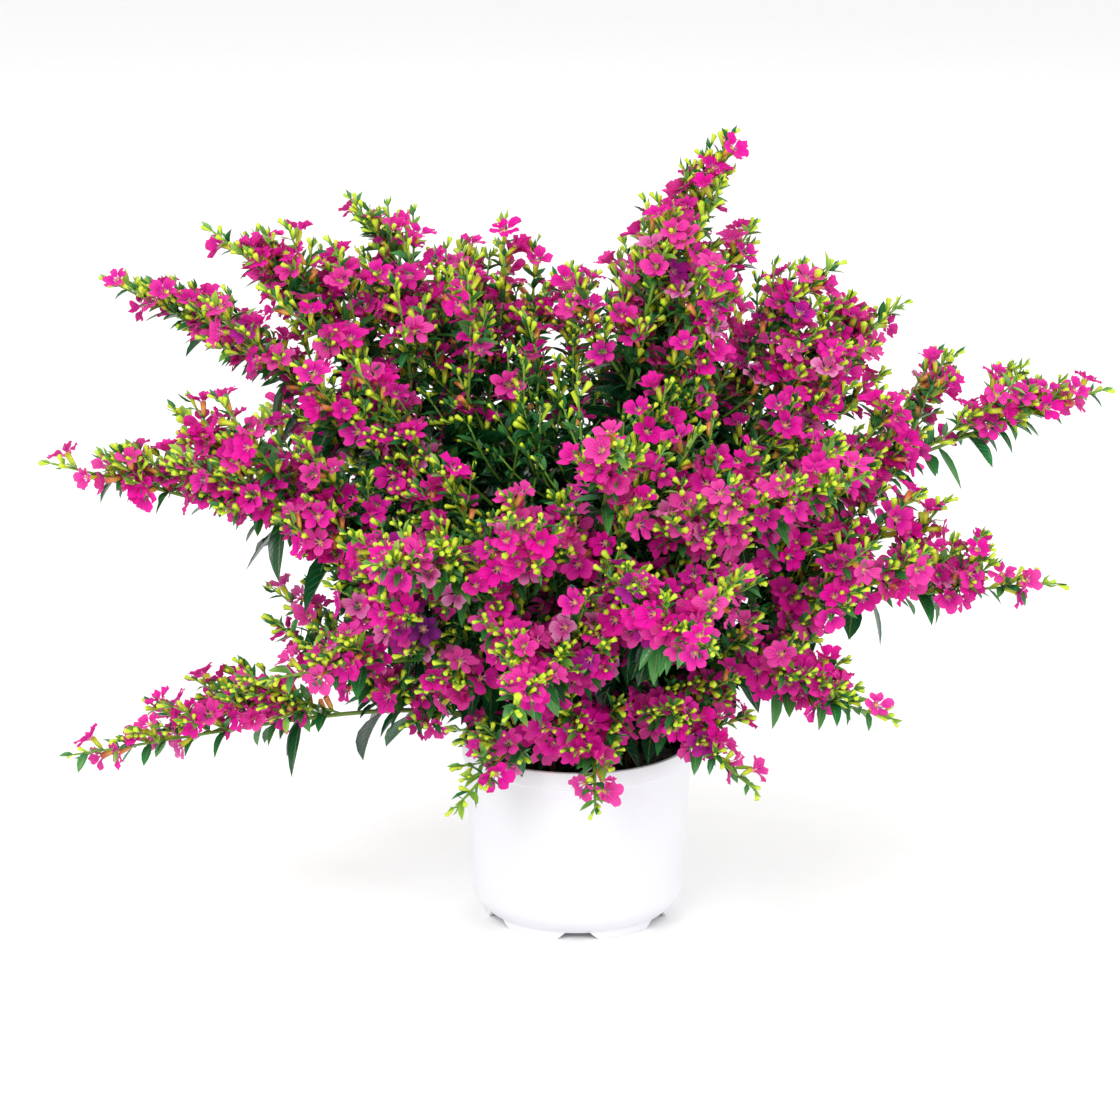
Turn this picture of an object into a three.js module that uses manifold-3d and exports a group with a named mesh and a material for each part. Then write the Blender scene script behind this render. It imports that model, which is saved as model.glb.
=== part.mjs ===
// A potted false heather in full flower: a white plastic pot, its soil, and leafy branches that end in sprays.
// Millimetres, +Z up. The origin is the centre of the circle that the pot stands on, and the front faces -Y.

import * as THREE from 'three';
import { mergeVertices } from 'three/addons/utils/BufferGeometryUtils.js';
import Module from 'manifold-3d';

const wasm = await Module();
wasm.setup();

const UP = new THREE.Vector3(0, 0, 1);
const SEAT_GAP = 0.3; // between a piece and the one that carries it
const PIECE_CLEARANCE = 0.5; // between flowers and leaves of different pieces
const WELD = 1e-3;
const SLIVER = 0.04; // edges shorter than this are closed up in a finished piece

// Pot
const RIM_RADIUS = 60;
const POT_HEIGHT = 94;
const RIM_BAND_HEIGHT = 9.5;
const RIM_BAND_STEP = 0.8;
const LOWER_WALL_RADIUS = 54.8;
const LOWER_WALL_HEIGHT = 15;
const FOOT_RADIUS = 48.2;
const FOOT_WIDTH = 2.4;
const FOOT_HEIGHT = 3.8;
const WALL = 1.4;
const POT_SIDES = 30;
const NOTCHES = 6;
const NOTCH_WIDTH_BELOW = 21;
const NOTCH_WIDTH_ABOVE = 12;
const NOTCH_DEPTH = 14;
const DRAIN_WIDTH = 3.6;
const DRAIN_LENGTH = 12;
const DRAIN_CENTRE = 36;

// Soil
const SOIL_TOP = 82;

// Stems, which taper from the soil to the tip
const STEM_SIDES = 4;
const STEM_STEPS = 6;
const SPRAY_STEPS = 3;
const STEM_BASE_RADIUS = 2.2;
const STEM_TIP_RADIUS = 0.8;
const SPRAY_LENGTH = 112;
const SPRAY_START_LEAST = 0.42; // a short branch keeps this share of its length for the bare leafy stem
const BASE_RING_STEEP = 7; // where an upright branch leaves the soil, from the pot's axis
const BASE_RING_FLAT = 37; // where a trailing branch leaves it
const BASE_TURN = 0.16; // how far a branch's foot is turned about the axis from its tip, in radians

// Flowers
const FLOWERS_PER_SPRAY = 7;
const FLOWER_RADIUS = 11.5;
const PETAL_CLEFT_RADIUS = 5;
const FLOWER_THICKNESS = 2.4;
const CALYX_LENGTH = 12;
const CALYX_MOUTH_RADIUS = 2.2;
const FLOWER_LEAN = 0.95; // how far a flower's calyx leans from the stem, in radians
const GOLDEN_TURN = 2.39996;
const TRIAL_TURN = 0.55;
const TRIALS = 9;

// Leaves
const LEAF_PAIRS = 5;
const LEAF_LENGTH_LOW = 46;
const LEAF_LENGTH_HIGH = 26;
const LEAF_WIDTH_SHARE = 0.32;
const LEAF_THICKNESS = 1.6;
const LEAF_LEAN = 1.0;

// Each branch's tip, and how much its arch is lifted over the straight way there.
const BRANCH_TIPS = [
  // left side of the photograph, from the trailing branch up
  { tip: [-252, -60, 104], lift: 42 },
  { tip: [-262, -28, 246], lift: 12 },
  { tip: [-238, 34, 326], lift: 4 },
  { tip: [-182, 8, 356], lift: 0 },
  // top, from left to right
  { tip: [-114, 30, 368], lift: 0 },
  { tip: [-60, 66, 338], lift: 0 },
  { tip: [-4, 22, 334], lift: 0 },
  { tip: [48, -14, 370], lift: 0 },
  { tip: [76, 22, 402], lift: 0 },
  { tip: [128, 14, 338], lift: 0 },
  { tip: [168, 62, 308], lift: 0 },
  // right side, from the top down
  { tip: [266, 20, 272], lift: 8 },
  { tip: [236, -56, 192], lift: 24 },
  { tip: [152, -104, 138], lift: 44 },
  // over the pot's rim
  { tip: [-60, -104, 92], lift: 46 },
  { tip: [8, -122, 98], lift: 46 },
  { tip: [86, -112, 104], lift: 46 },
  // front of the mound
  { tip: [-150, -104, 158], lift: 40 },
  { tip: [-32, -176, 164], lift: 40 },
  { tip: [62, -178, 196], lift: 30 },
  { tip: [-96, -160, 232], lift: 14 },
  { tip: [18, -146, 286], lift: 0 },
  { tip: [136, -112, 262], lift: 6 },
  // back of the mound
  { tip: [-168, 126, 236], lift: 14 },
  { tip: [-56, 180, 222], lift: 18 },
  { tip: [72, 176, 250], lift: 12 },
  { tip: [180, 128, 204], lift: 20 },
  { tip: [14, 168, 130], lift: 44 },
];

const materials = {
  pot: new THREE.MeshStandardMaterial({ color: 0xf3f3f6, roughness: 0.42, metalness: 0 }),
  soil: new THREE.MeshStandardMaterial({ color: 0x1d1512, roughness: 0.95, metalness: 0 }),
  foliage: new THREE.MeshStandardMaterial({ color: 0x2e6b2c, roughness: 0.5, metalness: 0 }),
  flowers: new THREE.MeshStandardMaterial({ color: 0xd6128c, roughness: 0.6, metalness: 0 }),
};

/** The closed solid of a three.js geometry. */
function solidOf(geometry) {
  const bare = geometry.clone();
  bare.deleteAttribute('normal');
  bare.deleteAttribute('uv');
  const merged = mergeVertices(bare, WELD);
  const corners = Array.from(merged.index.array);
  const kept = [];
  for (let i = 0; i < corners.length; i += 3) {
    const [a, b, c] = corners.slice(i, i + 3);
    if (a !== b && b !== c && c !== a) kept.push(a, b, c);
  }
  return new wasm.Manifold(
    new wasm.Mesh({
      numProp: 3,
      vertProperties: new Float32Array(merged.getAttribute('position').array),
      triVerts: new Uint32Array(kept),
    }),
  );
}

/** The three.js geometry of a solid, with its slivers closed up. */
function geometryOf(solid) {
  const mesh = solid.simplify(SLIVER).getMesh();
  const geometry = new THREE.BufferGeometry();
  geometry.setAttribute('position', new THREE.BufferAttribute(mesh.vertProperties, 3));
  geometry.setIndex(new THREE.BufferAttribute(mesh.triVerts, 1));
  return geometry;
}

/** True where each edge of a solid still joins two faces once its nearest corners are welded. */
function weldsCleanly(solid) {
  const corners = mergeVertices(geometryOf(solid), WELD).index.array;
  const edges = new Set();
  for (let i = 0; i < corners.length; i += 3) {
    const face = corners.slice(i, i + 3);
    if (new Set(face).size < 3) continue;
    for (let side = 0; side < 3; side++) {
      const edge = `${face[side]} ${face[(side + 1) % 3]}`;
      if (edges.has(edge)) return false;
      edges.add(edge);
    }
  }
  return true;
}

/** A named mesh of a solid, ready to draw. */
function meshOf(name, solid, material) {
  const flat = geometryOf(solid).toNonIndexed();
  flat.computeVertexNormals();
  const drawn = new THREE.Mesh(flat, material);
  drawn.name = name;
  return drawn;
}

/** A solid of revolution about +Z from [radius, height] points that run up the outside. */
function turned(points, sides) {
  const profile = points.map(([radius, height]) => new THREE.Vector2(radius, height));
  return solidOf(new THREE.LatheGeometry(profile, sides).rotateX(Math.PI / 2));
}

/** The pot's wall radius outside, at a height above the rounded lower edge. */
function wallRadius(height) {
  const share = (height - LOWER_WALL_HEIGHT) / (POT_HEIGHT - LOWER_WALL_HEIGHT);
  return LOWER_WALL_RADIUS + share * (RIM_RADIUS - RIM_BAND_STEP - LOWER_WALL_RADIUS);
}

function potBody() {
  const bandFoot = POT_HEIGHT - RIM_BAND_HEIGHT;
  const floorTop = FOOT_HEIGHT + WALL;
  return turned(
    [
      [0, FOOT_HEIGHT],
      [FOOT_RADIUS - FOOT_WIDTH, FOOT_HEIGHT],
      [FOOT_RADIUS - FOOT_WIDTH, 0],
      [FOOT_RADIUS, 0],
      [FOOT_RADIUS + 0.6, FOOT_HEIGHT + 0.8],
      [FOOT_RADIUS + 3.6, 7.6],
      [LOWER_WALL_RADIUS - 0.9, 11.2],
      [LOWER_WALL_RADIUS, LOWER_WALL_HEIGHT],
      [wallRadius(bandFoot), bandFoot],
      [RIM_RADIUS - 0.2, bandFoot + 0.7],
      [RIM_RADIUS, POT_HEIGHT - 0.6],
      [RIM_RADIUS - 0.6, POT_HEIGHT],
      [RIM_RADIUS - WALL - RIM_BAND_STEP, POT_HEIGHT],
      [wallRadius(bandFoot) - WALL, bandFoot],
      [LOWER_WALL_RADIUS - WALL, LOWER_WALL_HEIGHT],
      [LOWER_WALL_RADIUS - WALL - 1.2, 11.6],
      [FOOT_RADIUS + 2, 8.2],
      [FOOT_RADIUS - 1.6, floorTop],
      [0, floorTop],
    ],
    POT_SIDES,
  );
}

/** One drain notch through the foot ring, as the block that is cut away, facing +X. */
function notchCutter() {
  const outline = new THREE.Shape([
    new THREE.Vector2(-NOTCH_WIDTH_BELOW / 2 - 2, -2),
    new THREE.Vector2(NOTCH_WIDTH_BELOW / 2 + 2, -2),
    new THREE.Vector2(NOTCH_WIDTH_ABOVE / 2, FOOT_HEIGHT),
    new THREE.Vector2(-NOTCH_WIDTH_ABOVE / 2, FOOT_HEIGHT),
  ]);
  const block = new THREE.ExtrudeGeometry(outline, { depth: NOTCH_DEPTH, bevelEnabled: false, steps: 1 });
  // The outline stands upright, and the block runs outwards through the ring.
  block.rotateX(Math.PI / 2).rotateZ(Math.PI / 2).translate(FOOT_RADIUS - NOTCH_DEPTH / 2, 0, 0);
  return solidOf(block);
}

/** One drain slot through the pot's floor, as the block that is cut away, on the +X side. */
function drainCutter() {
  const half = DRAIN_LENGTH / 2 - DRAIN_WIDTH / 2;
  const slot = new THREE.Shape();
  slot.absarc(half, 0, DRAIN_WIDTH / 2, -Math.PI / 2, Math.PI / 2, false);
  slot.absarc(-half, 0, DRAIN_WIDTH / 2, Math.PI / 2, Math.PI * 1.5, false);
  const options = { depth: 2 * (FOOT_HEIGHT + WALL), bevelEnabled: false, steps: 1, curveSegments: 4 };
  return solidOf(new THREE.ExtrudeGeometry(slot, options).translate(DRAIN_CENTRE, 0, 0));
}

function pot() {
  let body = potBody();
  for (let i = 0; i < NOTCHES; i++) {
    const turn = -90 + (360 / NOTCHES) * i;
    body = body.subtract(notchCutter().rotate([0, 0, turn]));
    body = body.subtract(drainCutter().rotate([0, 0, turn]));
  }
  return body;
}

function soil() {
  const floorTop = FOOT_HEIGHT + WALL + SEAT_GAP;
  const inside = WALL + SEAT_GAP + 0.2;
  return turned(
    [
      [0, floorTop],
      [FOOT_RADIUS - 3, floorTop],
      [FOOT_RADIUS + 0.8, 9],
      [LOWER_WALL_RADIUS - inside - 1.4, 12.4],
      [LOWER_WALL_RADIUS - inside, LOWER_WALL_HEIGHT + 0.6],
      [wallRadius(SOIL_TOP) - inside, SOIL_TOP],
      [0, SOIL_TOP],
    ],
    POT_SIDES,
  );
}

/** The way that a branch grows: straight up out of the soil, then over to its tip. */
function branchRoute({ tip, lift }) {
  const end = new THREE.Vector3(...tip);
  const heading = Math.atan2(end.y, end.x);
  const steepness = Math.atan2(end.z - SOIL_TOP, Math.hypot(end.x, end.y)) / (Math.PI / 2);
  const ring = THREE.MathUtils.lerp(BASE_RING_FLAT, BASE_RING_STEEP, Math.max(0, steepness));
  const footTurn = heading + BASE_TURN;
  const foot = new THREE.Vector3(ring * Math.cos(footTurn), ring * Math.sin(footTurn), SOIL_TOP + SEAT_GAP);
  const reach = end.clone().sub(foot).setZ(0);
  const climb = end.z - foot.z;
  const aboveFoot = foot.clone().addScaledVector(UP, 0.55 * climb + lift);
  const beforeTip = end
    .clone()
    .addScaledVector(reach, -0.45)
    .addScaledVector(UP, -0.2 * climb + 0.3 * lift);
  return new THREE.CubicBezierCurve3(foot, aboveFoot, beforeTip, end);
}

/** Where a share of a route is, with the directions ahead, across and out of it there. */
function frameAt(route, share) {
  const centre = route.getPointAt(share);
  const ahead = route.getTangentAt(share);
  const reach = route.v3.clone().sub(route.v0).setZ(0);
  const across = new THREE.Vector3(-reach.y, reach.x, 0).normalize();
  across.addScaledVector(ahead, -across.dot(ahead)).normalize();
  const outward = new THREE.Vector3().crossVectors(across, ahead);
  return { centre, ahead, across, outward };
}

function stemRadius(share) {
  return THREE.MathUtils.lerp(STEM_BASE_RADIUS, STEM_TIP_RADIUS, share);
}

/** A tapered stem along a stretch of a route: a cylinder whose rings are moved onto the route. */
function stem(route, from, to, steps) {
  const geometry = new THREE.CylinderGeometry(1, 1, 1, STEM_SIDES, steps);
  const place = geometry.getAttribute('position');
  for (let i = 0; i < place.count; i++) {
    const share = THREE.MathUtils.lerp(from, to, place.getY(i) + 0.5);
    const { centre, across, outward } = frameAt(route, share);
    const radius = stemRadius(share);
    const moved = centre
      .addScaledVector(across, place.getX(i) * radius)
      .addScaledVector(outward, place.getZ(i) * radius);
    place.setXYZ(i, moved.x, moved.y, moved.z);
  }
  return solidOf(geometry);
}

/** A unit vector that leans from a stem by an angle, on one side of it. */
function leaning({ ahead, across, outward }, lean, turn) {
  const side = across.clone().multiplyScalar(Math.cos(turn)).addScaledVector(outward, Math.sin(turn));
  return ahead.clone().multiplyScalar(Math.cos(lean)).addScaledVector(side, Math.sin(lean)).normalize();
}

/** The matrix that puts a shape's X, Y and Z along these directions, and its origin at a place. */
function placing(x, y, z, origin) {
  return new THREE.Matrix4().makeBasis(x, y, z).setPosition(origin);
}

/** An open flower on its calyx, growing from a stem's middle along a direction. */
function flower(origin, direction, size) {
  const points = 12; // six petal ends and the six clefts between them
  const star = new THREE.SphereGeometry(1, points, 2);
  const place = star.getAttribute('position');
  for (let i = 0; i < place.count; i++) {
    const step = Math.round((Math.atan2(place.getZ(i), place.getX(i)) / (2 * Math.PI)) * points);
    const radius = step % 2 === 0 ? FLOWER_RADIUS : PETAL_CLEFT_RADIUS;
    place.setX(i, place.getX(i) * radius);
    place.setZ(i, place.getZ(i) * radius);
    place.setY(i, (place.getY(i) * FLOWER_THICKNESS) / 2 + CALYX_LENGTH);
  }
  // The tube narrows to the stem, and its mouth ends inside the petals.
  const calyx = new THREE.ConeGeometry(CALYX_MOUTH_RADIUS, CALYX_LENGTH + 0.4, 3);
  calyx.rotateX(Math.PI).translate(0, (CALYX_LENGTH + 0.4) / 2 - 0.2, 0);
  const helper = Math.abs(direction.z) > 0.9 ? new THREE.Vector3(1, 0, 0) : UP;
  const x = new THREE.Vector3().crossVectors(direction, helper).normalize();
  const z = new THREE.Vector3().crossVectors(x, direction);
  const matrix = placing(x, direction, z, origin).scale(new THREE.Vector3(size, size, size));
  return solidOf(star.applyMatrix4(matrix)).add(solidOf(calyx.applyMatrix4(matrix)));
}

/** A pointed leaf, growing from a stem's middle along a direction, with its face turned up the stem. */
function leaf(origin, direction, ahead, length) {
  const blade = new THREE.OctahedronGeometry(0.5);
  blade.translate(0.5, 0, 0).scale(length, LEAF_THICKNESS, length * LEAF_WIDTH_SHARE);
  const z = new THREE.Vector3().crossVectors(direction, ahead).normalize();
  const y = new THREE.Vector3().crossVectors(z, direction);
  return solidOf(blade.applyMatrix4(placing(direction, y, z, origin)));
}

/** Pieces that grow without touching one another: each is a node's solid so far. */
class Growth {
  constructor() {
    this.nodes = new Map();
  }

  start(name, solid) {
    this.nodes.set(name, solid);
  }

  /** True where a new shape of a node would keep clear of every other node. */
  isFree(name, shape) {
    for (const [other, solid] of this.nodes) {
      if (other !== name && shape.minGap(solid, PIECE_CLEARANCE) < PIECE_CLEARANCE) return false;
    }
    return true;
  }

  /** Joins the first of some shapes that has room, and that joins cleanly, to a node. */
  addFirstFree(name, shapes) {
    for (const makeShape of shapes) {
      const shape = makeShape();
      if (!this.isFree(name, shape)) continue;
      const joined = this.nodes.get(name).add(shape);
      if (!weldsCleanly(joined)) continue;
      this.nodes.set(name, joined);
      return;
    }
  }
}

/** The turns to try for a shape on a stem, the wanted one first. */
function trialTurns(turn) {
  return Array.from({ length: TRIALS }, (_, i) => turn + Math.ceil(i / 2) * TRIAL_TURN * (i % 2 ? 1 : -1));
}

function growFlowers(growth, name, route, sprayStart) {
  for (let i = 0; i < FLOWERS_PER_SPRAY; i++) {
    const height = (i + 0.7) / (FLOWERS_PER_SPRAY - 0.3);
    const share = THREE.MathUtils.lerp(sprayStart, 1, Math.min(height, 1));
    const frame = frameAt(route, Math.min(share, 0.995));
    const last = i === FLOWERS_PER_SPRAY - 1;
    const lean = last ? 0.25 : FLOWER_LEAN;
    const size = THREE.MathUtils.lerp(1.05, 0.85, height);
    const shapes = trialTurns(i * GOLDEN_TURN).map(
      (turn) => () => flower(frame.centre, leaning(frame, lean, turn), size),
    );
    growth.addFirstFree(name, shapes);
  }
}

function growLeaves(growth, name, route, sprayStart) {
  for (let pair = 0; pair < LEAF_PAIRS; pair++) {
    const height = (pair + 1) / (LEAF_PAIRS + 0.6);
    const frame = frameAt(route, sprayStart * THREE.MathUtils.lerp(0.2, 1, height));
    const length = THREE.MathUtils.lerp(LEAF_LENGTH_LOW, LEAF_LENGTH_HIGH, height);
    for (const side of [0, Math.PI]) {
      const shapes = trialTurns(side + (pair * Math.PI) / 2 + 0.4).map(
        (turn) => () => leaf(frame.centre, leaning(frame, LEAF_LEAN, turn), frame.ahead, length),
      );
      growth.addFirstFree(name, shapes);
    }
  }
}

const plant = new THREE.Group();
plant.name = 'potted_false_heather';

const growth = new Growth();
growth.start('pot', pot());
growth.start('soil', soil());

const branches = BRANCH_TIPS.map((branch, i) => {
  const number = String(i + 1).padStart(2, '0');
  const route = branchRoute(branch);
  const length = route.getLength();
  const sprayStart = Math.max(1 - SPRAY_LENGTH / length, SPRAY_START_LEAST);
  return { stems: `branch_${number}`, flowers: `flowers_${number}`, route, length, sprayStart };
});

for (const { stems, flowers, route, length, sprayStart } of branches) {
  growth.start(stems, stem(route, 0, sprayStart, STEM_STEPS));
  growth.start(flowers, stem(route, sprayStart + SEAT_GAP / length, 1, SPRAY_STEPS));
}
for (const { flowers, route, sprayStart } of branches) growFlowers(growth, flowers, route, sprayStart);
for (const { stems, route, sprayStart } of branches) growLeaves(growth, stems, route, sprayStart);

plant.add(meshOf('pot', growth.nodes.get('pot'), materials.pot));
plant.add(meshOf('soil', growth.nodes.get('soil'), materials.soil));
for (const { stems, flowers } of branches) {
  plant.add(meshOf(stems, growth.nodes.get(stems), materials.foliage));
  plant.add(meshOf(flowers, growth.nodes.get(flowers), materials.flowers));
}

export default plant;
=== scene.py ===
import math
import random
from functools import lru_cache

import bmesh
import bpy
from bpy.props import FloatProperty, FloatVectorProperty, IntProperty, PointerProperty
from mathutils import Matrix, Vector, noise


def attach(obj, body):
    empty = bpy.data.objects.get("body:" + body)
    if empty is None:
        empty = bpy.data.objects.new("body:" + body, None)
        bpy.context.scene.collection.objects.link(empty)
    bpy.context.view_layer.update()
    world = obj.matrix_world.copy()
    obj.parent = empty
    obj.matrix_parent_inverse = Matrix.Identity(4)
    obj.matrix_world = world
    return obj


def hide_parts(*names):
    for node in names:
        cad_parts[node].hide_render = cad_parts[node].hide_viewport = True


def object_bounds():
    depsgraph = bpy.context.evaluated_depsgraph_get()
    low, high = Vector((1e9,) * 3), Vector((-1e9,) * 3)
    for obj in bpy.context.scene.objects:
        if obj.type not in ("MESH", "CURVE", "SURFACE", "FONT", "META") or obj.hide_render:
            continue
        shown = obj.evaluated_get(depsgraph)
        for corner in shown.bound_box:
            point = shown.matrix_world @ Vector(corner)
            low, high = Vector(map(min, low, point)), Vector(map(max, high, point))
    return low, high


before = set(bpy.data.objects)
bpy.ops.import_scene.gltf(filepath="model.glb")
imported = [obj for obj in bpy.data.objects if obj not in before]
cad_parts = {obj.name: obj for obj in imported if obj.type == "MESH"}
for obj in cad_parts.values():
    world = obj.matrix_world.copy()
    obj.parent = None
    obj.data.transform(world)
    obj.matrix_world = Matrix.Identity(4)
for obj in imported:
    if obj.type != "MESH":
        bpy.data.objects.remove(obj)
CAD_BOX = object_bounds()

bl_info = {
    "name": "Potted false heather",
    "version": (1, 0, 0),
    "blender": (4, 5, 0),
    "location": "3D View > Sidebar > Plant",
    "description": "Builds a false heather in full flower, in its white pot, round its packed frame",
    "category": "Object",
}

MM = 0.001
UP = Vector((0, 0, 1))
DOWN = Vector((0, 0, -1))
FULL_TURN = 2 * math.pi

# The tip of each branch in millimetres and how far its middle is lifted, as in the CAD model
BRANCH_TIPS = (
    ((-252, -60, 104), 42),
    ((-262, -28, 246), 12),
    ((-238, 34, 326), 4),
    ((-182, 8, 356), 0),
    ((-114, 30, 368), 0),
    ((-60, 66, 338), 0),
    ((-4, 22, 334), 0),
    ((48, -14, 370), 0),
    ((76, 22, 402), 0),
    ((128, 14, 338), 0),
    ((168, 62, 308), 0),
    ((266, 20, 272), 8),
    ((236, -56, 192), 24),
    ((152, -104, 138), 44),
    ((-60, -104, 92), 46),
    ((8, -122, 98), 46),
    ((86, -112, 104), 46),
    ((-150, -104, 158), 40),
    ((-32, -176, 164), 40),
    ((62, -178, 196), 30),
    ((-96, -160, 232), 14),
    ((18, -146, 286), 0),
    ((136, -112, 262), 6),
    ((-168, 126, 236), 14),
    ((-56, 180, 222), 18),
    ((72, 176, 250), 12),
    ((180, 128, 204), 20),
    ((14, 168, 130), 44),
)

# The ring on the soil that the branches rise from: its radius for upright and for level ones, and its turn
BASE_RING_STEEP = 7 * MM
BASE_RING_FLAT = 37 * MM
BASE_TURN = 0.16

# Which tiles of the green sheet hold which colours
SHEET_TILES = 4
TILE_MARGIN = 0.04
OLD_LEAF_TILES = (0, 1, 2, 3)
GREEN_LEAF_TILES = (4, 5, 6)
YOUNG_LEAF_TILES = (7, 8, 9)
STEM_TILE = 10
BUD_TILES = (11, 12)
CALYX_TILE = 13
ORANGE_CALYX_TILE = 14
SPENT_CALYX_TILE = 15
OPEN_CALYX_TILES = (CALYX_TILE, CALYX_TILE, ORANGE_CALYX_TILE)
EMPTY_CALYX_TILES = (CALYX_TILE, ORANGE_CALYX_TILE, ORANGE_CALYX_TILE, SPENT_CALYX_TILE)

# Which tiles of the petal sheet hold which colours
HOT_PETAL_TILES = (0, 1, 2, 3, 4, 5)
LIGHT_PETAL_TILES = (6, 7, 8)
PALE_PETAL_TILES = (9, 10)
AGED_PETAL_TILES = (11, 12)
DARK_PETAL_TILE = 13
THROAT_TILE = 14

# Screen colours that no setting holds: a ripe calyx's mouth, the darkest petals, a throat and a fibre
CALYX_FLUSH = (236, 120, 90)
DARK_CLAW = (70, 14, 92)
DARK_EDGE = (60, 20, 90)
CREAM = (250, 220, 180)
GOLD = (252, 190, 36)
FIBRE = (120, 92, 66)

# The pot below its rim, its foot ring with the drain notches, and the drain slots in its floor
LOWER_WALL_RADIUS = 54.8 * MM
LOWER_WALL_HEIGHT = 15 * MM
RIM_BAND_HEIGHT = 9.5 * MM
RIM_BAND_STEP = 0.8 * MM
FOOT_HEIGHT = 3.8 * MM
FOOT_WIDTH = 2.4 * MM
NOTCHES = 6
NOTCH_HALF_BELOW = math.radians(12.5)
NOTCH_HALF_ABOVE = math.radians(7.5)
DRAIN_INNER = 30 * MM
DRAIN_OUTER = 42 * MM
DRAIN_HALF = math.radians(2.6)
POT_STEPS = 144
SHARP_EDGE = math.radians(40)

# The soil's gap to the pot, the rings and steps of its surface, and the crumbs that lie on it
SOIL_GAP = 0.5 * MM
SOIL_RINGS = 26
SOIL_STEPS = 72
SOIL_UNEVENNESS = 1.3 * MM
CRUMBS = 520
CRUMB_FORMS = 6
CRUMB_SIZES = (1.4 * MM, 2.2 * MM, 3.6 * MM)
CRUMB_GAP = 3 * MM

# How many unlike forms there are of each small shape, and how many sides the turned ones have
LEAF_FORMS = 8
BUD_FORMS = 6
CALYX_FORMS = 6
BUD_SIDES = 5
THROAT_SIDES = 6
BRANCH_SIDES = 6
SHOOT_SIDES = 4

# How many rows of faces a leaf has that is longer than each length
LEAF_ROWS = ((16 * MM, 5), (11 * MM, 4), (7.5 * MM, 3), (0, 2))

# A flower's petals: their angles round it, which are the small upper ones, and how far each form opens
PETAL_TURNS = (0, 68, 112, 180, 238, 302)
UPPER_PETALS = (1, 2)
FLOWER_SPREADS = (96, 84, 104, 78, 92, 66, 88, 100)

# The lengths and the widths of the upper petals and of the others, for a flower of unit reach
UPPER_PETAL_SIZES = ((0.72, 0.86), (0.40, 0.52))
LOWER_PETAL_SIZES = ((0.88, 1.06), (0.54, 0.67))

# The heart of the plant, and how far the plant reaches from there: across, deep and up, and then down
PLANT_HEART = Vector((0, 0.01, 0.17))
REACH_OUT = Vector((0.21, 0.13, 0.18))
REACH_DOWN = 0.09

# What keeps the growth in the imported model's box, off the ground and out of the pot
BOX_SLACK = 5 * MM
POT_CLEARANCE = 2 * MM
LOWEST_GROWTH = 20 * MM
LEAF_CHECKS = 6
LEAF_SAG = 0.2
SHOOT_CHECK_GAP = 6 * MM

# Stems: their steps, their radii, how green a stem's foot may be, the steps that a path is measured by,
# and the stretch back from a tip over which the nodes spread out
BRANCH_STEPS = 22
TWIGGY_SHOOT_STEPS = 5
SHOOT_STEPS = 3
BRANCH_TIP_RADIUS = 0.6 * MM
SHOOT_TIP_RADIUS = 0.5 * MM
SHOOT_TAPER = 0.006
GREENEST_FOOT = 0.99
PATH_STEPS = 12
NODES_SPREAD = (40 * MM, 120 * MM)

# Leaves: how their sizes and ages vary, the tiles that they get below each mix of age and painted shade,
# and the share of pairs that stays on where leaves don't hang and where they do
LEAF_LENGTHS = (0.68, 1.15)
LEAF_WIDTHS = (0.30, 0.42)
AGE_SPREAD = 0.12
LEAF_AGE_AND_SHADE_TILES = ((0.56, OLD_LEAF_TILES), (0.95, GREEN_LEAF_TILES), (math.inf, YOUNG_LEAF_TILES))
LEAVES_KEPT = (0.86, 0.3)

# Buds: their lengths at the very tip, at the first node, further back and behind a flower
TUFT_BUDS = (4.5 * MM, 8 * MM)
FIRST_BUDS = (6 * MM, 8.5 * MM)
GROWN_BUDS = (8.5 * MM, 12 * MM)
SECOND_BUDS = (7 * MM, 11 * MM)

# How many nodes back from a tip carry flowers, on level and on upright stems, and then spent calyxes,
# and between which rises per length a stem turns from a level to an upright one
FLOWERING_NODES = (8.5, 4.8)
SPENT_NODES = 13
UPRIGHT = (0.55, 0.9)

# The share of nodes with an open flower, a bud in its place, a second bud, and a spent calyx
TIP_OPEN = 0.62
SHOOT_OPEN = 0.66
BUD_SHARE = 0.4
SECOND_BUD_SHARE = 0.16
SPENT_SHARE = 0.45

# The openness between which the nodes and the tufts start to bear
NODES_BEAR = (0.42, 0.86)
TUFTS_BEAR = (0.3, 0.75)

# How likely petals are in each colour: they get the first tiles whose limit is above their pick
PETAL_PICKS = (
    (0.6, HOT_PETAL_TILES),
    (0.86, LIGHT_PETAL_TILES),
    (0.95, PALE_PETAL_TILES),
    (1.08, AGED_PETAL_TILES),
)

# Side shoots: how often level and upright branches send them, what makes them longer, how much their
# lengths vary, and from which length they have twigs, with the twigs' share of nodes and lengths
SHOOTS_SENT = (0.62, 0.5)
FULLNESS = 0.36
LEVEL_FULLNESS = 0.42
BURIED_FULLNESS = 0.34
SHOOT_LENGTHS = (0.55, 1.12)
TWIGGY_SHOOT = 36 * MM
TWIG_SHARE = 0.42
TWIG_LENGTHS = (0.3, 0.55)
SHORTEST_TWIG = 11 * MM

# The stage: what the camera looks at, the floor, and each light's place, size and power
AIM = Vector((-0.009, 0, 0.188))
FLOOR_RADIUS = 9.0
FLOOR_SIDES = 96
SENSOR_WIDTH = 36.0
FARTHEST_SEEN = 50.0
LIGHTS = (
    ("key_light", Vector((-0.9, -1.6, 1.7)), 1.2, 26.0),
    ("fill_light", Vector((1.5, -1.3, 0.9)), 1.4, 10.0),
    ("back_light", Vector((0.4, 1.6, 1.8)), 1.2, 14.0),
)


def tint(red, green, blue):
    """A colour from its screen values of 0 to 255, as the linear values that a material holds."""
    shares = (value / 255 for value in (red, green, blue))
    return tuple(s / 12.92 if s <= 0.04045 else ((s + 0.055) / 1.055) ** 2.4 for s in shares)


def blend(first, second, share):
    """The number or vector that lies a share of the way from the first to the second."""
    return first + (second - first) * share


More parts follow.
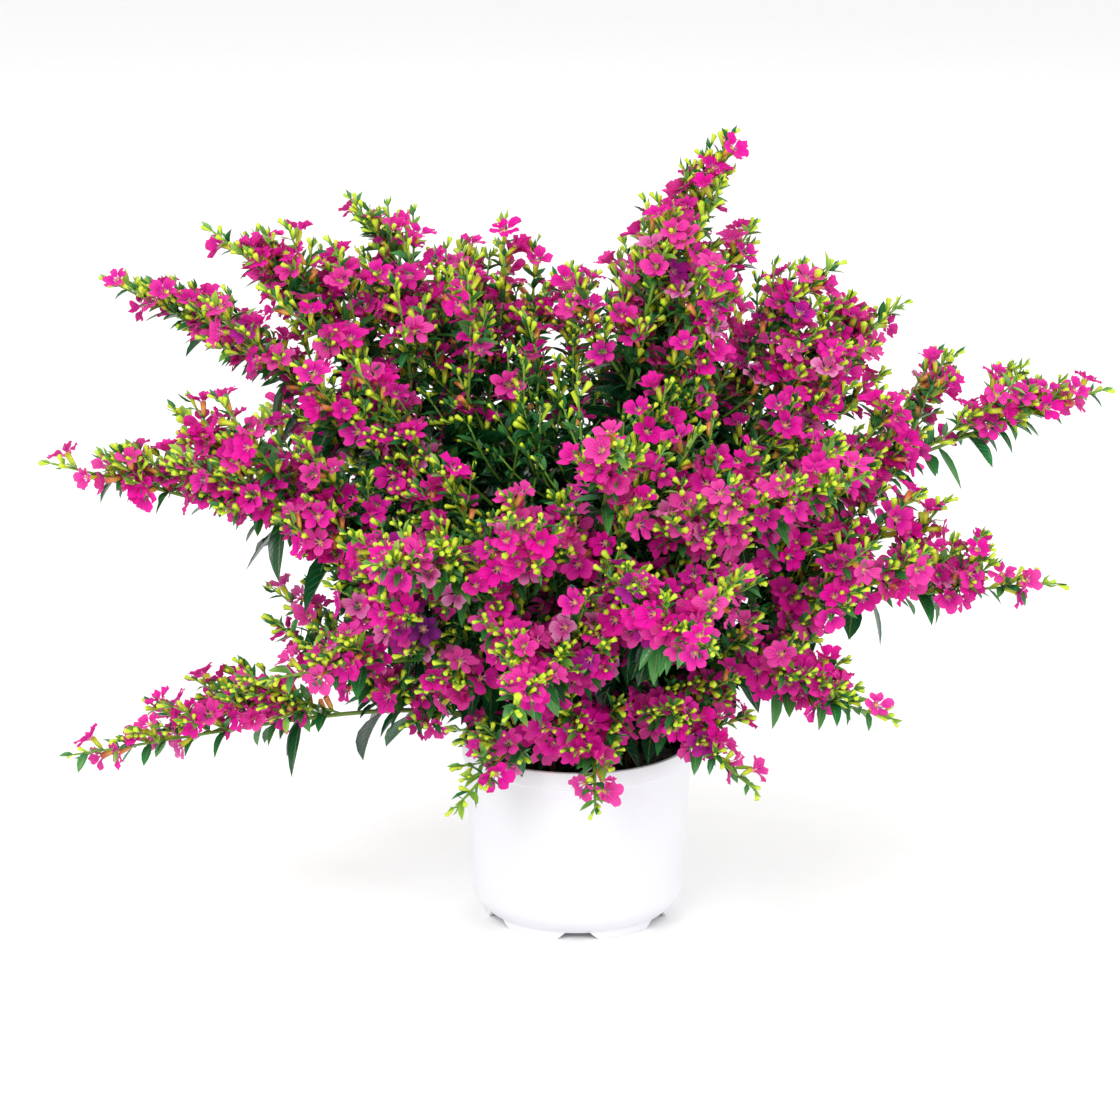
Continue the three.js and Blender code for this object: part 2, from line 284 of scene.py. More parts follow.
def blend_colours(first, second, share):
    """The colour that lies a share of the way from the first to the second."""
    return tuple(blend(a, b, share) for a, b in zip(first, second))


def between(value, low, high):
    """How far a value is on its way from low to high, eased and kept within 0 and 1."""
    share = min(1.0, max(0.0, (value - low) / (high - low)))
    return share * share * (3 - 2 * share)


def length_setting(name, description, default):
    """A setting that holds a length."""
    return FloatProperty(name=name, description=description, default=default, unit="LENGTH")


def colour_setting(name, description, default):
    """A setting that holds a colour."""
    return FloatVectorProperty(name=name, description=description, default=default, subtype="COLOR")


class PotSettings(bpy.types.PropertyGroup):
    """Sizes and colours of the pot and of the soil in it."""

    rim_radius: length_setting("Rim radius", "Outer radius of the rim", 60 * MM)
    height: length_setting("Height", "Height of the rim", 94 * MM)
    wall: length_setting("Wall", "Thickness of the wall", 1.4 * MM)
    foot_radius: length_setting("Foot radius", "Outer radius of the foot ring", 48.2 * MM)
    soil_height: length_setting("Soil height", "Height of the soil's surface", 82 * MM)
    white: colour_setting("White", "Colour of the pot outside", tint(232, 232, 237))
    lining: colour_setting("Lining", "Colour of the pot inside", tint(22, 30, 46))
    peat: colour_setting("Peat", "Colour of the soil", tint(58, 43, 33))


class PlantSettings(bpy.types.PropertyGroup):
    """Sizes and colours of the stems, leaves, buds and calyxes."""

    seed: IntProperty(name="Seed", description="Start of every chance in the growth", default=7)
    stem_radius: length_setting("Stem radius", "Radius of a branch at the soil", 2.0 * MM)
    branch_node_gap: length_setting("Branch node gap", "Stem between a branch's leaf pairs", 10 * MM)
    tip_node_gap: length_setting("Tip node gap", "Stem between leaf pairs near a tip", 6 * MM)
    leafy_length: length_setting("Leafy length", "From a branch's tip to its full-sized leaves", 130 * MM)
    bare_tip: length_setting("Bare tip", "Length of a branch's end without side shoots", 24 * MM)
    longest_shoot: length_setting("Longest shoot", "Side shoot in the middle of a branch", 104 * MM)
    shortest_shoot: length_setting("Shortest shoot", "Side shoot nearest to a branch's tip", 11 * MM)
    old_leaf: length_setting("Old leaf", "Length of the lowest leaves", 44 * MM)
    young_leaf: length_setting("Young leaf", "Length of the topmost leaves", 9 * MM)
    old_green: colour_setting("Old green", "Colour of the lowest leaves", tint(0, 36, 26))
    leaf_green: colour_setting("Leaf green", "Colour of grown leaves", tint(32, 130, 62))
    young_green: colour_setting("Young green", "Colour of the shoot tips", tint(210, 240, 42))
    rib: colour_setting("Rib", "Colour of the leaves' midribs and veins", tint(176, 204, 130))
    wood: colour_setting("Wood", "Colour of the oldest stems", tint(92, 62, 44))
    orange: colour_setting("Orange", "Colour of ageing calyxes", tint(236, 150, 60))


class FlowerSettings(bpy.types.PropertyGroup):
    """Sizes and colours of the flowers."""

    width: length_setting("Width", "Width of an open flower", 19 * MM)
    calyx_length: length_setting("Calyx length", "Length of a calyx and its stalk", 10 * MM)
    magenta: colour_setting("Magenta", "Colour of fresh petals", tint(238, 0, 164))
    pink: colour_setting("Pink", "Colour of the lighter petals", tint(238, 80, 170))
    pale: colour_setting("Pale", "Colour of the palest petals", tint(238, 160, 206))
    purple: colour_setting("Purple", "Colour of ageing petals", tint(132, 34, 146))
    vein: colour_setting("Vein", "Colour of the petals' veins", tint(98, 8, 108))


class StageSettings(bpy.types.PropertyGroup):
    """The camera, the light and the floor."""

    distance: length_setting("Distance", "From the camera to the plant", 1.9)
    elevation: FloatProperty(
        name="Elevation",
        description="Camera's angle over the horizon",
        default=math.radians(16),
        unit="ROTATION",
    )
    lens: FloatProperty(name="Lens", description="Focal length in millimetres", default=120.0)
    daylight: FloatProperty(name="Daylight", description="Strength of the even light", default=1.0)
    floor: colour_setting("Floor", "Colour of the floor", tint(246, 246, 246))


def added_maths(operation, swapped=False):
    """A Wire's method that adds a Math node for the Wire and, where there is one, another value."""

    def method(self, other=0.0):
        values = (other, self) if swapped else (self, other)
        return self.finish.node("ShaderNodeMath", {"operation": operation}, dict(enumerate(values)))

    return method


class Wire:
    """One output of a node. Python's arithmetic on it adds Math nodes."""

    def __init__(self, finish, socket):
        self.finish = finish
        self.socket = socket

    __add__ = added_maths("ADD")
    __radd__ = added_maths("ADD", swapped=True)
    __sub__ = added_maths("SUBTRACT")
    __rsub__ = added_maths("SUBTRACT", swapped=True)
    __mul__ = added_maths("MULTIPLY")
    __rmul__ = added_maths("MULTIPLY", swapped=True)
    __truediv__ = added_maths("DIVIDE")
    __lt__ = added_maths("LESS_THAN")
    __gt__ = added_maths("GREATER_THAN")
    __abs__ = added_maths("ABSOLUTE")
    floor = added_maths("FLOOR")
    fraction = added_maths("FRACT")
    wave = added_maths("SINE")
    root = added_maths("SQRT")


class Finish:
    """A material while its nodes are laid."""

    def __init__(self, name):
        self.material = bpy.data.materials.new(name)
        self.material.use_nodes = True
        self.tree = self.material.node_tree
        self.tree.nodes.clear()

    def node(self, kind, settings, inputs, output=0):
        """Add a node, set it up, then fill its sockets, and give back one of its outputs."""
        node = self.tree.nodes.new(kind)
        for name, value in settings.items():
            if name == "stops":
                self.lay_stops(node.color_ramp, value)
            else:
                setattr(node, name, value)
        for key, value in inputs.items():
            if isinstance(value, Wire):
                self.tree.links.new(value.socket, node.inputs[key])
            elif node.inputs[key].type == "RGBA":
                node.inputs[key].default_value = (*value, 1.0)
            else:
                node.inputs[key].default_value = value
        return Wire(self, node.outputs[output])

    def lay_stops(self, ramp, stops):
        """Give a ramp its stops, each a place from 0 to 1 and the colour from there to the next one."""
        ramp.interpolation = "CONSTANT"
        while len(ramp.elements) < len(stops):
            ramp.elements.new(1.0)
        for element, (place, colour) in zip(ramp.elements, stops):
            element.position = place
            element.color = (*colour, 1.0)

    def place(self):
        """The object's own coordinates, as a vector."""
        return self.node("ShaderNodeTexCoord", {}, {}, "Object")

    def parts_of(self, vector):
        """The three numbers of a vector."""
        node = self.node("ShaderNodeSeparateXYZ", {}, {0: vector}).socket.node
        return tuple(Wire(self, output) for output in node.outputs)

    def noise(self, vector, scale, detail):
        """Soft noise from 0 to 1."""
        inputs = {"Vector": vector, "Scale": scale, "Detail": detail}
        return self.node("ShaderNodeTexNoise", {}, inputs, "Fac")

    def mix(self, share, first, second):
        """A share of the second colour laid over the first."""
        inputs = {0: share, 6: first, 7: second}
        return self.node("ShaderNodeMix", {"data_type": "RGBA"}, inputs, 2)

    def shaded(self, colour, level):
        """A colour made darker or lighter by a number."""
        return self.node("ShaderNodeVectorMath", {"operation": "SCALE"}, {0: colour, "Scale": level})

    def eased(self, value, low, high):
        """0 below low, 1 above high, and smooth between them."""
        settings = {"interpolation_type": "SMOOTHSTEP"}
        return self.node("ShaderNodeMapRange", settings, {0: value, 1: low, 2: high})

    def bump(self, height, strength, depth):
        """The normal of a surface that stands up where height is more."""
        inputs = {"Strength": strength, "Distance": depth, "Height": height}
        return self.node("ShaderNodeBump", {}, inputs)

    def surface(self, colour, **sockets):
        """The plain surface shader, with its sockets named by words joined by _."""
        inputs = {name.replace("_", " "): value for name, value in sockets.items()}
        return self.node("ShaderNodeBsdfPrincipled", {}, {"Base Color": colour, **inputs})

    def lit_through(self, surface, colour, share):
        """A surface that lets a share of the light through, as thin leaves and petals do."""
        through = self.node("ShaderNodeBsdfTranslucent", {}, {"Color": tuple(colour)})
        return self.node("ShaderNodeMixShader", {}, {0: share, 1: surface, 2: through})

    def done(self, shader):
        """Lead the shader to the material's output."""
        output = self.tree.nodes.new("ShaderNodeOutputMaterial")
        self.tree.links.new(shader.socket, output.inputs["Surface"])
        return self.material


class Sheet:
    """The tile that a point of a piece lies on, and its place on that tile."""

    def __init__(self, finish):
        self.map = finish.node("ShaderNodeUVMap", {"uv_map": "OFBake"}, {})
        u, v, _ = finish.parts_of(self.map)
        wide = u * SHEET_TILES
        high = v * SHEET_TILES
        self.number = (high.floor() * SHEET_TILES + wide.floor() + 0.5) / SHEET_TILES**2
        self.across = (wide.fraction() - 0.5) / (0.5 - TILE_MARGIN)
        self.along = (high.fraction() - TILE_MARGIN) / (1 - 2 * TILE_MARGIN)


def tile_colours(finish, sheet, tiles, start, end):
    """Each tile's colour, which goes from its first blend of two colours at start to its second at end."""
    ramps = []
    for which in (0, 1):
        stops = [(tile / SHEET_TILES**2, blend_colours(*tiles[tile][which])) for tile in sorted(tiles)]
        ramps.append(finish.node("ShaderNodeValToRGB", {"stops": stops}, {0: sheet.number}))
    return finish.mix(finish.eased(sheet.along, start, end), *ramps)


def green_tiles(plant):
    """The green sheet's tiles: what two colours are blended, and how far, at each tile's start and end."""
    old, leaf, young = plant.old_green, plant.leaf_green, plant.young_green
    wood, orange = plant.wood, plant.orange
    tiles = {
        STEM_TILE: ((wood, wood, 0), (leaf, young, 0.3)),
        CALYX_TILE: ((leaf, young, 0.85), (young, orange, 0.25)),
        ORANGE_CALYX_TILE: ((young, orange, 0.6), (orange, tint(*CALYX_FLUSH), 0.5)),
        SPENT_CALYX_TILE: ((leaf, wood, 0.45), (wood, orange, 0.5)),
    }
    for index, tile in enumerate(OLD_LEAF_TILES):
        tiles[tile] = ((old, leaf, 0.1 * index), (old, leaf, 0.1 * index + 0.06))
    for index, tile in enumerate(GREEN_LEAF_TILES):
        tiles[tile] = ((old, leaf, 0.28 + 0.18 * index), (leaf, young, 0.05 * index))
    for index, tile in enumerate(YOUNG_LEAF_TILES):
        tiles[tile] = ((leaf, young, 0.08 + 0.12 * index), (leaf, young, 0.28 + 0.15 * index))
    for index, tile in enumerate(BUD_TILES):
        tiles[tile] = ((leaf, young, 0.7 + 0.25 * index), (young, orange, 0.12 * index))
    return tiles


def green_finish(plant):
    """Leaves with a pale midrib and side veins, ribbed calyxes, and stems that green towards the tip."""
    finish = Finish("living_green")
    sheet = Sheet(finish)
    colour = tile_colours(finish, sheet, green_tiles(plant), 0.0, 0.95)
    blotches = finish.noise(sheet.map, 34.0, 3.0)
    colour = finish.shaded(colour, 0.72 + blotches * 0.55)
    is_leaf = sheet.number < STEM_TILE / SHEET_TILES**2
    aside = abs(sheet.across)
    midrib = 1 - finish.eased(aside, 0.03, 0.12)
    slant = sheet.along * 8 - aside * 2.2
    veins = finish.eased(abs(slant.fraction() - 0.5), 0.36, 0.5) * (1 - aside)
    ribs = finish.eased((sheet.across * 9.4).wave(), 0.1, 0.9)
    lines = is_leaf * (midrib * 0.8 + veins * 0.4) + (1 - is_leaf) * ribs * 0.3
    pale = finish.mix(0.4, colour, plant.rib)
    colour = finish.mix(lines, colour, pale)
    edge = finish.eased(aside, 0.8, 1.0) * is_leaf
    colour = finish.mix(edge * 0.35, colour, finish.shaded(colour, 0.55))
    height = blotches * 0.35 - is_leaf * (midrib + veins) * 0.6 + (1 - is_leaf) * ribs * 0.6
    normal = finish.bump(height, 0.6, 0.5 * MM)
    surface = finish.surface(colour, Roughness=0.22, Specular_IOR_Level=0.5, Normal=normal)
    return finish.done(finish.lit_through(surface, plant.leaf_green, 0.1))


def petal_tiles(flower):
    """The petal sheet's tiles: what two colours are blended, and how far, at the claw and the edge."""
    magenta, pink, pale, purple = flower.magenta, flower.pink, flower.pale, flower.purple
    dark, darkest, cream, gold = (tint(*colour) for colour in (DARK_EDGE, DARK_CLAW, CREAM, GOLD))
    tiles = {
        DARK_PETAL_TILE: ((darkest, darkest, 0), (purple, dark, 0.5)),
        THROAT_TILE: ((cream, cream, 0), (gold, gold, 0)),
    }
    for index, tile in enumerate(HOT_PETAL_TILES):
        tiles[tile] = ((magenta, purple, 0.05 * index), (magenta, pink, 0.09 * index))
    for index, tile in enumerate(LIGHT_PETAL_TILES):
        tiles[tile] = ((magenta, pink, 0.35 + 0.2 * index), (magenta, pink, 0.7 + 0.15 * index))
    for index, tile in enumerate(PALE_PETAL_TILES):
        tiles[tile] = ((pink, purple, 0.15), (pink, pale, 0.6 + 0.4 * index))
    for index, tile in enumerate(AGED_PETAL_TILES):
        tiles[tile] = ((purple, magenta, 0.25), (purple, magenta, 0.35 + 0.25 * index))
    return tiles


def petal_finish(flower):
    """Petals whose purple veins fan out from a pale claw, with thin crumpled blades and a painted
    highlight of lighter pink along each blade.
    """
    finish = Finish("crinkled_petal")
    sheet = Sheet(finish)
    colour = tile_colours(finish, sheet, petal_tiles(flower), 0.25, 1.0)
    blotches = finish.noise(sheet.map, 22.0, 3.0)
    colour = finish.shaded(colour, 0.86 + blotches * 0.28)
    is_petal = sheet.number < THROAT_TILE / SHEET_TILES**2
    aside = abs(sheet.across)
    wander = (blotches - 0.5) * 0.5
    stripe = abs((sheet.across * 2 + wander).fraction() - 0.5)
    veins = finish.eased(stripe, 0.32, 0.47) * is_petal
    fading = 1 - finish.eased(sheet.along, 0.35, 0.95)
    colour = finish.mix(veins * fading * 0.85, colour, flower.vein)
    # Painted highlight: lighter pink laid along the middle of each blade's outer half
    light = finish.eased(sheet.along, 0.45, 0.75) * (1 - veins) * (1 - aside) * is_petal
    colour = finish.mix(light * 0.16, colour, flower.pink)
    heart = (1 - finish.eased(sheet.along, 0.14, 0.36)) * is_petal
    colour = finish.mix(heart * 0.85, colour, flower.pale)
    crumple = finish.noise(sheet.map, 38.0, 2.0)
    normal = finish.bump(crumple * 0.8 - veins * 0.35, 0.55, 0.6 * MM)
    surface = finish.surface(colour, Roughness=0.62, Specular_IOR_Level=0.1, Normal=normal)
    return finish.done(finish.lit_through(surface, flower.pink, 0.24))


def pot_finish(pot):
    """Smooth white plastic, a little mottled, with a dusty blue-black lining."""
    finish = Finish("white_plastic")
    place = finish.place()
    x, y, z = finish.parts_of(place)
    radius = (x * x + y * y).root()
    mottle = finish.noise(place, 26.0, 3.0)
    grain = finish.noise(place, 900.0, 2.0)
    colour = finish.shaded(pot.white, 0.965 + mottle * 0.05)
    taper = (pot.rim_radius - LOWER_WALL_RADIUS) / (pot.height - LOWER_WALL_HEIGHT)
    middle = (z - LOWER_WALL_HEIGHT) * taper + (LOWER_WALL_RADIUS - RIM_BAND_STEP - pot.wall / 2)
    inside = (radius < middle) * (z > 2 * LOWER_WALL_HEIGHT)
    dusty = finish.mix(finish.eased(mottle, 0.45, 0.75) * 0.3, pot.lining, pot.peat)
    colour = finish.mix(inside, colour, dusty)
    normal = finish.bump(grain * 0.5 + mottle, 0.12, 0.3 * MM)
    roughness = 0.34 + mottle * 0.14
    surface = finish.surface(colour, Roughness=roughness, Specular_IOR_Level=0.5, Normal=normal)
    return finish.done(surface)


def soil_finish(pot):
    """Dark peat with lighter fibres and crumbs."""
    finish = Finish("moist_peat")
    place = finish.place()
    clods = finish.noise(place, 160.0, 4.0)
    fibres = finish.eased(finish.noise(place, 620.0, 2.0), 0.58, 0.72)
    colour = finish.shaded(pot.peat, 0.35 + clods * 1.1)
    colour = finish.mix(fibres * 0.35, colour, tint(*FIBRE))
    normal = finish.bump(clods + fibres * 0.3, 0.9, 1.2 * MM)
    surface = finish.surface(colour, Roughness=0.82 + clods * 0.15, Normal=normal)
    return finish.done(surface)


def floor_finish(stage):
    """A plain pale floor with a barely seen grain."""
    finish = Finish("pale_floor")
    grain = finish.noise(finish.place(), 40.0, 2.0)
    colour = finish.shaded(stage.floor, 0.985 + grain * 0.03)
    surface = finish.surface(colour, Roughness=0.9, Specular_IOR_Level=0.1)
    return finish.done(surface)


def lay_on_tile(bm, tile, share_of):
    """Lay a small shape on one tile of its colour sheet, by each corner's shares across and along."""
    layer = bm.loops.layers.uv.get("OFBake") or bm.loops.layers.uv.new("OFBake")
    row, column = divmod(tile, SHEET_TILES)
    room = 1 - 2 * TILE_MARGIN
    for face in bm.faces:
        for loop in face.loops:
            across, along = share_of(loop.vert.co)
            u = (column + TILE_MARGIN + across * room) / SHEET_TILES
            v = (row + TILE_MARGIN + along * room) / SHEET_TILES
            loop[layer].uv = (u, v)


def mesh_of(bm, name):
    """Turn a finished bmesh into a smooth mesh."""
    for face in bm.faces:
        face.smooth = True
    mesh = bpy.data.meshes.new(name)
    bm.to_mesh(mesh)
    bm.free()
    return mesh


def stamp(bm, mesh, matrix):
    """Add a copy of a mesh, moved by a matrix."""
    copy = mesh.copy()
    copy.transform(matrix)
    bm.from_mesh(copy)
    bpy.data.meshes.remove(copy)


def stamp_once(bm, mesh, matrix):
    """Add a mesh that nothing else needs, moved by a matrix."""
    mesh.transform(matrix)
    bm.from_mesh(mesh)
    bpy.data.meshes.remove(mesh)


def turned(profile, steps):
    """A closed shape from a profile of (radius, height) points that starts and ends on the Z axis."""
    bm = bmesh.new()
    corners = [bm.verts.new((radius, 0, height)) for radius, height in profile]
    edges = [bm.edges.new(pair) for pair in zip(corners, corners[1:])]
    turn = {"cent": (0, 0, 0), "axis": UP, "angle": FULL_TURN, "steps": steps}
    bmesh.ops.spin(bm, geom=corners + edges, use_merge=True, **turn)
    bmesh.ops.remove_doubles(bm, verts=bm.verts, dist=0.001 * MM)
    bmesh.ops.recalc_face_normals(bm, faces=bm.faces)
    return bm


def round_and_up(height):
    """How a turned shape of a given height lies on its tile: there and back round it, and up it."""

    def share_of(point):
        return abs(math.atan2(point.y, point.x)) / math.pi, min(1.0, max(0.0, point.z / height))

    return share_of


def placing(origin, forward, facing, size):
    """The matrix that stands a shape at a point, grown forward, with its upper side towards facing."""
    ahead = forward.normalized()
    upper = facing - ahead * facing.dot(ahead)
    if upper.length < 0.05:
        upper = ahead.orthogonal()
    upper.normalize()
    across = upper.cross(ahead)
    turn = Matrix((across, upper, ahead)).transposed().to_4x4()
    return Matrix.Translation(origin) @ turn @ Matrix.Diagonal((*size, 1))


def square_to(ahead, turn):
    """The direction square to a stem that lies at an angle round it, from its side."""
    side = ahead.cross(UP)
    if side.length < 0.05:
        side = Vector((1, 0, 0))
    return Matrix.Rotation(turn, 3, ahead) @ side.normalized()


class Path:
    """The smooth way that a stem grows, from its control points."""

    def __init__(self, *controls):
        self.controls = controls
        points = [self.at(step / PATH_STEPS) for step in range(PATH_STEPS + 1)]
        self.length = sum((b - a).length for a, b in zip(points, points[1:]))

    def at(self, share):
        points = self.controls
        while len(points) > 1:
            points = [a.lerp(b, share) for a, b in zip(points, points[1:])]
        return points[0]

    def ahead(self, share):
        near = self.at(max(0.0, share - 0.02))
        far = self.at(min(1.0, share + 0.02))
        return (far - near).normalized()


def stem_mesh(path, steps, sides, radius_from, radius_to, youth):
    """A tapered stem along a path, green at its tip and as old at its foot as its youth says."""
    rings = [(1, step / steps) for step in range(steps + 1)]
    bm = turned([(0, 0), *rings, (0, 1)], sides)
    foot = min(youth, GREENEST_FOOT)
    around_and_along = round_and_up(1)

    def share_of(point):
        across, along = around_and_along(point)
        return across, blend(foot, 1.0, along)

    lay_on_tile(bm, STEM_TILE, share_of)
    start = path.ahead(0)
    for vert in bm.verts:
        share = vert.co.z
        ahead = path.ahead(share)
        across = Vector((vert.co.x, vert.co.y, 0)) * blend(radius_from, radius_to, share)
        across.rotate(UP.rotation_difference(start))
        across.rotate(start.rotation_difference(ahead))
        vert.co = path.at(share) + across
    return mesh_of(bm, "stem")


def leaf_outline(along):
    """The share of its full width that a leaf has at a share of its length."""
    return max(math.sin(math.pi * along**0.8) ** 0.85, 0.14 * (1 - along))


@lru_cache(maxsize=None)
def leaf_mesh(form, tile, rows):
    """A pointed leaf of unit length and width, folded along its midrib and bent back."""
    chance = random.Random(form)
    droop = chance.uniform(-0.02, 0.24)
    fold = chance.uniform(0.05, 0.16)
    twist = chance.uniform(-0.2, 0.2)
    bm = bmesh.new()
    bmesh.ops.create_grid(bm, x_segments=2, y_segments=rows, size=0.5)
    lay_on_tile(bm, tile, lambda point: (point.x + 0.5, point.y + 0.5))
    for vert in bm.verts:
        across = 2 * vert.co.x
        along = vert.co.y + 0.5
        half = leaf_outline(along) / 2
        rise = (fold * abs(across) + twist * across * along) * half * 2 - droop * along * along
        vert.co = (across * half, rise, along)
    bmesh.ops.remove_doubles(bm, verts=bm.verts, dist=0.001)
    return mesh_of(bm, "leaf")


def bent(profile, bend, tile, name):
    """A small turned shape of unit length, bent to one side, on its tile."""
    bm = turned(profile, BUD_SIDES)
    lay_on_tile(bm, tile, round_and_up(1))
    for vert in bm.verts:
        vert.co.y += bend * vert.co.z**2
    return mesh_of(bm, name)


@lru_cache(maxsize=None)
def calyx_mesh(form, tile):
    """A ribbed calyx tube on its stalk, of unit length, with an open mouth."""
    chance = random.Random(form)
    bend = chance.uniform(-0.05, 0.12)
    belly = chance.uniform(0.12, 0.15)
    return bent([(0, 0), (belly, 0.36), (0.18, 1.0), (0, 0.86)], bend, tile, "calyx")


@lru_cache(maxsize=None)
def bud_mesh(form, tile):
    """A closed, club-shaped bud on its stalk, of unit length."""
    chance = random.Random(form)
    bend = chance.uniform(-0.05, 0.15)
    head = chance.uniform(0.15, 0.2)
    return bent([(0, 0), (0.07, 0.25), (head, 0.9), (0, 1.0)], bend, tile, "bud")


def petal_outline(along):
    """The share of its full width that a petal has along it: a narrow claw, then a round blade."""
    blade = math.sin(math.pi * (0.02 + 0.68 * along**1.5))
    return 0.09 + 0.91 * blade * between(along, 0.08, 0.55)


def petal_mesh(tile, long, wide, spread, chance):
    """One clawed, crinkled petal in the X-Z plane that leaves the axis along +X and opens by spread."""
    bm = bmesh.new()
    bmesh.ops.create_grid(bm, x_segments=3, y_segments=4, size=0.5)
    lay_on_tile(bm, tile, lambda point: (point.x + 0.5, point.y + 0.5))
    start = 0.35 * spread
    swing = spread - start
    phase = chance.uniform(0, FULL_TURN)
    cup = chance.uniform(-0.10, 0.14)
    lean = chance.uniform(-0.12, 0.12)
    for vert in bm.verts:
        across = 2 * vert.co.x
        along = vert.co.y + 0.5
        reach = along * (1 - 0.16 * across * across)
        angle = start + swing * reach
        out = long * (math.cos(start) - math.cos(angle)) / swing
        rise = long * (math.sin(angle) - math.sin(start)) / swing
        ripple = math.sin(phase + 4.2 * across + 5 * along) * 0.10 + chance.uniform(-0.05, 0.05)
        lift = long * along * (cup * across * across + ripple * (0.3 + abs(across)))
        aside = across * wide / 2 * petal_outline(along) + lean * long * along * along
        vert.co = (out - lift * math.cos(angle), aside, rise + lift * math.sin(angle))
    return mesh_of(bm, "petal")


@lru_cache(maxsize=None)
def flower_mesh(form, tile):
    """Petals of unit reach round a throat: the upper ones small, the others broad."""
    chance = random.Random(form)
    spread = math.radians(FLOWER_SPREADS[form])
    bm = bmesh.new()
    for index, angle in enumerate(PETAL_TURNS):
        sizes = UPPER_PETAL_SIZES if index in UPPER_PETALS else LOWER_PETAL_SIZES
        long, wide = [chance.uniform(*limits) for limits in sizes]
        petal = petal_mesh(tile, long, wide, spread * chance.uniform(0.86, 1.1), chance)
        turn = math.radians(angle) + chance.uniform(-0.12, 0.12)
        stamp_once(bm, petal, Matrix.Rotation(turn, 4, "Z") @ Matrix.Translation((0.06, 0, 0)))
    throat = turned([(0, -0.1), (0.13, 0.05), (0, 0.16)], THROAT_SIDES)
    lay_on_tile(throat, THROAT_TILE, round_and_up(0.14))
    stamp_once(bm, mesh_of(throat, "throat"), Matrix.Identity(4))
    return mesh_of(bm, "flower")


def branch_path(number):
    """The way that a branch grows: straight up out of the soil, then over to its tip."""
    (x, y, z), lift = BRANCH_TIPS[number - 1]
    tip = Vector((x, y, z)) * MM
    soil = bpy.context.scene.heather_pot.soil_height
    steepness = math.atan2(tip.z - soil, math.hypot(tip.x, tip.y)) / (math.pi / 2)
    ring = blend(BASE_RING_FLAT, BASE_RING_STEEP, max(0.0, steepness))
    turn = math.atan2(tip.y, tip.x) + BASE_TURN
    foot = Vector((ring * math.cos(turn), ring * math.sin(turn), soil))
    reach = (tip - foot) * Vector((1, 1, 0))
    climb = tip.z - foot.z
    above_foot = foot + UP * (0.55 * climb + lift * MM)
    before_tip = tip - reach * 0.45 + UP * (0.3 * lift * MM - 0.2 * climb)
    return Path(foot, above_foot, before_tip, tip)


def openness(point):
    """0 in the heart of the plant and 1 at its outside."""
    away = point - PLANT_HEART
    climb = away.z / (REACH_OUT.z if away.z > 0 else REACH_DOWN)
    return Vector((away.x / REACH_OUT.x, away.y / REACH_OUT.y, climb)).length


def in_the_clear(point, room):
    """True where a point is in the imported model's box and out of the pot and the soil."""
    pot = bpy.context.scene.heather_pot
    lowest, highest = CAD_BOX
    for i in range(3):
        if not lowest[i] - BOX_SLACK < point[i] < highest[i] + BOX_SLACK:
            return False
    radius = math.hypot(point.x, point.y)
    if radius > pot.rim_radius + room:
        return point.z > LOWEST_GROWTH
    if radius > pot.rim_radius - 3 * pot.wall - room:
        return point.z > pot.height + room
    return point.z > pot.soil_height + room / 2


